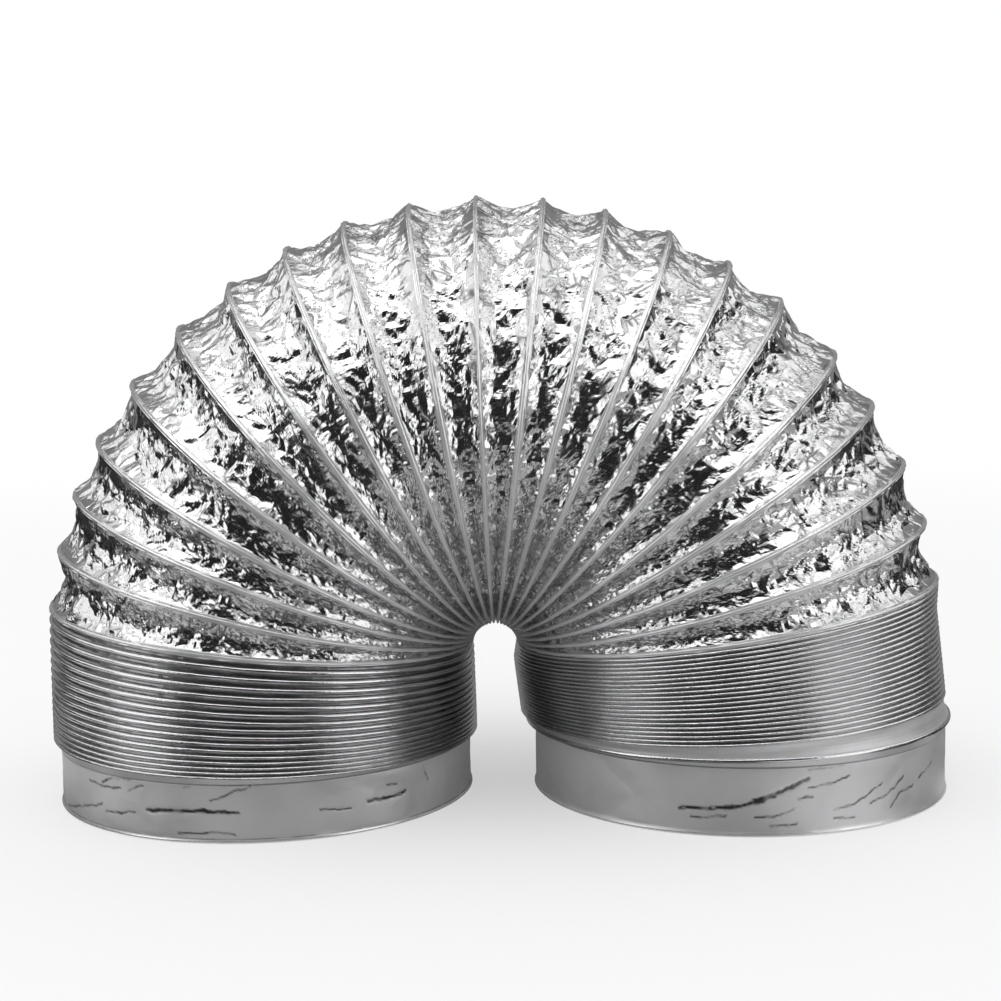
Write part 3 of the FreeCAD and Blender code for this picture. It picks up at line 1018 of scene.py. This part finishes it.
def stack_ribs(side, sections):
    """Pressed ribs of a leg's stack. The sections start at the cuff's top and end at the arch."""
    sizes = bpy.context.scene.duct_sizes
    tree = bpy.data.node_groups["Rib Over Wire"]
    material = bpy.data.materials["stack_rib_finish"]
    end, turn = f"{side}_end", f"turn_{leg_of(side)[2]:02d}"
    count = len(sections) - 2
    for i in range(count):
        low, section, high = sections[i:i + 3]
        below = 1 if i else 2  # No rib takes the other half of the room between the lowest rib and the cuff.
        room = [min(gap_at(section, high, way), gap_at(low, section, way) * below) * STACK_ROOM
                for way in (1, -1)]
        values = rib_values(section, sizes, material, 5 + i * 0.47, room)
        values.update({
            "Width": sizes.stack_rib_width, "Slack": 0.0, "Least Width": sizes.stack_rib_width,
            "Height": sizes.stack_rib_width, "Ridge": 0.0, "Fold": 0.0, "Squareness": 0.0,
            "Waver": 0.3 * MM, "Smooth": 1.0, "Columns": 12, "Rows": STACK_ROWS,
        })
        rib = grown(f"{side}_stack_rib_{i + 1:02d}", tree, values)
        if i:
            blend_firm(rib, section[0], i / count)
        else:
            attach(rib, end)
        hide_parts(f"{side}_wire_turns")


class DUCT_OT_stacks(bpy.types.Operator):
    """Makes the pressed stacks of ribs and pleats in the two legs"""
    bl_idname = "duct.stacks"
    bl_label = "Leg Stacks"

    def execute(self, context):
        for side in ("left", "right"):
            foot, height, _, outwards = leg_of(side)
            cuff_top = (foot + Vector((0, 0, height)), outwards)
            sections = [cuff_top, *stack_sections(side)]
            stack_pleats(side, sections)
            stack_ribs(side, sections)
        return {"FINISHED"}


class DUCT_OT_cuffs(bpy.types.Operator):
    """Makes the two plain cuffs with their rolled hems"""
    bl_idname = "duct.cuffs"
    bl_label = "Cuffs"

    def execute(self, context):
        sizes = context.scene.duct_sizes
        for side, seed, sharp, faint in (("left", 3.0, LEFT_SHARP, LEFT_FAINT),
                                         ("right", 4.0, RIGHT_SHARP, RIGHT_FAINT)):
            foot, height, _, outwards = leg_of(side)
            tree = cuff_tree(f"Plain Cuff {side.title()}", sharp, faint)
            piece = grown(f"{side}_cuff_foil", tree, {
                "Foot": foot, "Turn": outwards, "Bore": BORE_RADIUS, "Wall": sizes.cuff_wall,
                "Height": height, "Hem Height": sizes.hem_height, "Hem Rise": sizes.hem_rise,
                "Wrinkle": 0.2 * MM,
                "Crease Depth": sizes.crease_depth, "Crease Width": sizes.crease_width,
                "Seed": seed, "Columns": 42, "Rows": 1000,
                "Material": bpy.data.materials["cuff_foil_finish"],
            })
            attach(piece, f"{side}_end")
            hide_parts(f"{side}_cuff")
        return {"FINISHED"}


class DUCT_OT_wires(bpy.types.Operator):
    """Gives the wire turns of the arch their steel"""
    bl_idname = "duct.wires"
    bl_label = "Wire Turns"

    def execute(self, context):
        steel = bpy.data.materials["wire_finish"]
        for name, node in frame["nodes"].items():
            if name.startswith("wire_turn_"):
                node.data.materials.clear()
                node.data.materials.append(steel)
        return {"FINISHED"}


CAMERA_PLACE = Vector((0.0069, -0.640, 0.1709))
CAMERA_PITCH = math.radians(5.79)
CAMERA_TURN = math.radians(-0.56)
CAMERA_ROLL = math.radians(0.90)
CAMERA_LENS = 62.63


def make_camera():
    """Camera at the photograph's angle: a little above, looking down, and rolled by about a degree."""
    data = bpy.data.cameras.new("photo_camera")
    data.lens = CAMERA_LENS
    data.sensor_width = 36.0
    camera = bpy.data.objects.new("photo_camera", data)
    bpy.context.scene.collection.objects.link(camera)
    ahead = Vector((math.sin(CAMERA_TURN) * math.cos(CAMERA_PITCH),
                    math.cos(CAMERA_TURN) * math.cos(CAMERA_PITCH), -math.sin(CAMERA_PITCH)))
    right = Vector((math.cos(CAMERA_TURN), -math.sin(CAMERA_TURN), 0))
    up = right.cross(ahead)
    rolled = Matrix.Rotation(CAMERA_ROLL, 3, ahead)
    right, up = rolled @ right, rolled @ up
    pose = Matrix((right, up, -ahead)).transposed().to_4x4()
    pose.translation = CAMERA_PLACE
    camera.matrix_world = pose
    bpy.context.scene.camera = camera


def card_finish(name, shade, glow=0.0):
    """Dull grey for a card of the studio, or a lit one where glow is above 0."""
    material = bpy.data.materials.new(name)
    material.use_nodes = True
    shader = material.node_tree.nodes["Principled BSDF"]
    shader.inputs["Base Color"].default_value = (shade, shade, shade, 1)
    shader.inputs["Roughness"].default_value = 0.9
    shader.inputs["Specular IOR Level"].default_value = 0.1
    shader.inputs["Emission Color"].default_value = (shade, shade, shade, 1)
    shader.inputs["Emission Strength"].default_value = glow
    return material


def patched_card_finish():
    """Patches of light and dark round the duct's feet, painted shadow under the duct, and dark far out."""
    material = card_finish("floor_card", 0.3)
    tree = material.node_tree
    place = vector_math(tree, "LENGTH", tree_place(tree))
    shades = []
    for start, stop in ((0.09, 0.15), (0.30, 0.42)):
        node = add_node(tree, "ShaderNodeMapRange", [
            ("Value", place), ("From Min", start), ("From Max", stop)], interpolation_type="SMOOTHSTEP")
        shades.append(Field(tree, node.outputs[0]))
    spot = noise(tree, tree_place(tree), 11.0, 1.0) * 8.0 + 0.4
    colour = mixed_colour(tree, (0.06, 0.06, 0.06), (0.70, 0.70, 0.70), spot)
    # Painted shadow of the duct: the card is dark out to 0.09 m from the middle, between the feet, fading by
    # 0.15 m.
    colour = mixed_colour(tree, (0.14, 0.14, 0.14), colour, shades[0])
    colour = mixed_colour(tree, colour, (0.02, 0.02, 0.02), shades[1])
    feed(tree, colour, tree.nodes["Principled BSDF"].inputs["Base Color"])
    return material


def stage_piece(name, points, faces, material):
    """Piece of the studio, which is no part of the duct."""
    mesh = bpy.data.meshes.new(name)
    mesh.from_pydata(points, [], faces)
    mesh.materials.append(material)
    piece = bpy.data.objects.new(name, mesh)
    bpy.context.scene.collection.objects.link(piece)
    return piece


def strip(name, pairs, material):
    """Surface stretched over pairs of points, from each pair to the next."""
    points = [point for pair in pairs for point in pair]
    faces = [(a, a + 1, a + 3, a + 2) for a in range(0, len(points) - 2, 2)]
    return stage_piece(name, points, faces, material)


def bearings(start, stop, steps):
    """Angles in even steps, from a start and stop in degrees."""
    return [math.radians(start + (stop - start) * i / steps) for i in range(steps + 1)]


def flat_ring(name, inner, outer, height, material, start=0, stop=360):
    """Flat ring or part of one, on the floor round the duct."""
    pairs = [[(r * math.cos(angle), r * math.sin(angle), height) for r in (inner, outer)]
             for angle in bearings(start, stop, 96)]
    return strip(name, pairs, material)


def curtain(name, radius, bottom, top, material, start, stop):
    """Upright curved card round the duct, from one bearing to another."""
    pairs = [[(radius * math.sin(angle), -radius * math.cos(angle), z) for z in (top, bottom)]
             for angle in bearings(start, stop, 48)]
    return strip(name, pairs, material)


def level_card(name, low, high, height, material):
    """Level rectangle between two corners, given as x and y."""
    corners = [(low[0], low[1]), (high[0], low[1]), (high[0], high[1]), (low[0], high[1])]
    return stage_piece(name, [(x, y, height) for x, y in corners], [(0, 1, 2, 3)], material)


def only_in_reflections(piece):
    """A card that shapes the reflections and is otherwise not there."""
    for kind in ("camera", "diffuse", "shadow", "transmission", "volume_scatter"):
        setattr(piece, f"visible_{kind}", False)


def area_light(name, place, aim, size, power):
    """Rectangular lamp that shines at a point."""
    data = bpy.data.lights.new(name, "AREA")
    data.shape = "RECTANGLE"
    data.size, data.size_y = size
    data.energy = power
    lamp = bpy.data.objects.new(name, data)
    bpy.context.scene.collection.objects.link(lamp)
    lamp.location = place
    lamp.rotation_euler = (Vector(aim) - Vector(place)).to_track_quat("-Z", "Y").to_euler()
    return lamp


def studio_world():
    """White to the camera and in reflections, and a soft light of nearly that strength on all else."""
    world = bpy.data.worlds.new("studio")
    bpy.context.scene.world = world
    world.use_nodes = True
    world.cycles.sampling_method = "NONE"
    tree = world.node_tree
    tree.nodes.clear()
    target = tree.nodes.new("ShaderNodeOutputWorld")
    path = tree.nodes.new("ShaderNodeLightPath")
    seen = Field(tree, path.outputs["Is Camera Ray"])
    for kind in ("Is Glossy Ray", "Is Transmission Ray"):
        seen = seen.math("MAXIMUM", Field(tree, path.outputs[kind]))
    backdrop = add_node(tree, "ShaderNodeBackground", [("Color", (1, 1, 1, 1)), ("Strength", 1.0)])
    light = add_node(tree, "ShaderNodeBackground", [("Color", (1, 1, 1, 1)), ("Strength", 0.8)])
    mix = tree.nodes.new("ShaderNodeMixShader")
    tree.links.new(seen.socket, mix.inputs[0])
    tree.links.new(light.outputs[0], mix.inputs[1])
    tree.links.new(backdrop.outputs[0], mix.inputs[2])
    tree.links.new(mix.outputs[0], target.inputs[0])


def floor_material(colour):
    """Pale floor that takes the duct's shadow and fades into the white backdrop far out."""
    material = bpy.data.materials.new("pale_floor")
    material.use_nodes = True
    tree = material.node_tree
    tree.nodes.clear()
    target = tree.nodes.new("ShaderNodeOutputMaterial")
    place = vector_math(tree, "LENGTH", tree_place(tree))
    far = add_node(tree, "ShaderNodeMapRange", [
        ("Value", place), ("From Min", 0.25), ("From Max", 1.6), ("To Min", 0.45)],
        interpolation_type="SMOOTHSTEP")
    near = add_node(tree, "ShaderNodeBsdfDiffuse", [("Color", (*colour, 1))])
    glow = add_node(tree, "ShaderNodeEmission", [("Color", (1, 1, 1, 1)), ("Strength", 1.0)])
    mix = tree.nodes.new("ShaderNodeMixShader")
    tree.links.new(far.outputs[0], mix.inputs[0])
    tree.links.new(near.outputs[0], mix.inputs[1])
    tree.links.new(glow.outputs[0], mix.inputs[2])
    tree.links.new(mix.outputs[0], target.inputs[0])
    return material


# Upright cards, with their finish, radius, bottom, top, and the bearings in degrees that they reach between.
CURTAINS = (
    ("front_curtain", "black_card", 1.4, 0.0, 1.8, -14, 14),
    ("front_left_curtain", "black_card", 1.41, 0.0, 1.6, -42, -12),
    ("front_right_curtain", "black_card", 1.41, 0.0, 1.6, 12, 42),
    ("left_curtain", "black_card", 1.4, 0.0, 0.55, -125, -38),
    ("right_curtain", "black_card", 1.4, 0.0, 0.55, 38, 125),
    ("rear_curtain", "rear_card", 1.4, 0.0, 0.45, 125, 235),
    ("right_strip", "strip_card", 1.3, 0.0, 0.8, 40, 75),
    ("left_strip", "strip_card", 1.3, 0.0, 0.8, -75, -50),
    ("rear_wall", "rear_card", 1.4, 0.45, 1.5, 125, 235),
)


class DUCT_OT_studio(bpy.types.Operator):
    """Makes the camera, the floor, the cards and the lights"""
    bl_idname = "duct.studio"
    bl_label = "Studio"

    def execute(self, context):
        context.scene.view_settings.view_transform = "Standard"
        make_camera()
        studio_world()
        flat_ring("floor", 0.0, 12.0, 0.0, floor_material(context.scene.duct_finish.floor))
        black = card_finish("black_card", 0.010)
        finishes = {"black_card": black, "rear_card": card_finish("rear_card", 0.22),
                    "strip_card": card_finish("strip_card", 0.7, glow=0.8)}
        cards = [
            flat_ring("floor_card", 0.0, 1.5, 0.4 * MM, patched_card_finish()),
            flat_ring("right_floor_card", 0.3, 1.4, 1.0 * MM, card_finish("side_card", 0.32), -58, 12),
        ]
        for name, finish, radius, bottom, top, start, stop in CURTAINS:
            cards.append(curtain(name, radius, bottom, top, finishes[finish], start, stop))
        cards.append(level_card("front_roof", (-0.3, -1.5), (0.3, -0.8), 1.69, black))
        for y in (-1.05, -0.45, 0.15, 0.75):
            cards.append(level_card(f"ceiling_bar_{y + 2:.2f}", (-2, y), (2, y + 0.13), 1.70, black))
        for x in (-0.9, -0.3, 0.35, 0.95):
            cards.append(level_card(f"ceiling_beam_{x + 2:.2f}", (x, -2), (x + 0.10, 2), 1.71, black))
        for card in cards:
            only_in_reflections(card)
        area_light("top_light", place=(-0.2, -0.3, 1.5), aim=(0, 0, 0.1), size=(1.6, 1.2), power=6)
        return {"FINISHED"}


class DUCT_PT_panel(bpy.types.Panel):
    """Sizes, colours and steps of the duct"""
    bl_idname = "DUCT_PT_panel"
    bl_label = "Flexible Air Duct"
    bl_space_type = "VIEW_3D"
    bl_region_type = "UI"
    bl_category = "Duct"

    def draw(self, context):
        scene = context.scene
        for group in (scene.duct_sizes, scene.duct_left_stack, scene.duct_right_stack, scene.duct_finish):
            box = self.layout.box()
            for name in type(group).__annotations__:
                box.prop(group, name)
        for step in STEPS:
            self.layout.operator(step.bl_idname)


STEPS = (DUCT_OT_studio, DUCT_OT_materials, DUCT_OT_bays, DUCT_OT_ribs, DUCT_OT_stacks, DUCT_OT_cuffs,
         DUCT_OT_wires)
CLASSES = (DuctSizes, StackSizes, DuctFinish, *STEPS, DUCT_PT_panel)


def register():
    for each in CLASSES:
        bpy.utils.register_class(each)
    bpy.types.Scene.duct_sizes = PointerProperty(type=DuctSizes)
    bpy.types.Scene.duct_left_stack = PointerProperty(type=StackSizes)
    bpy.types.Scene.duct_right_stack = PointerProperty(type=StackSizes)
    bpy.types.Scene.duct_finish = PointerProperty(type=DuctFinish)


def unregister():
    for name in ("duct_sizes", "duct_left_stack", "duct_right_stack", "duct_finish"):
        delattr(bpy.types.Scene, name)
    for each in reversed(CLASSES):
        bpy.utils.unregister_class(each)


# The right leg's stack has more turns than the left one, and a plain band above its lowest rib.
RIGHT_STACK = {
    "turns": 22, "first_tilt": math.radians(0.8), "band": 5.7 * MM, "band_tilt": math.radians(2.8),
    "crowding": 0.0, "crumple": 0.08 * MM, "side_shift": 1.8 * MM,
}


def main():
    """Registers the add-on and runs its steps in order."""
    register()
    for name, value in RIGHT_STACK.items():
        setattr(bpy.context.scene.duct_right_stack, name, value)
    for step in STEPS:
        area, name = step.bl_idname.split(".")
        getattr(getattr(bpy.ops, area), name)()


if __name__ == "__main__":
    main()
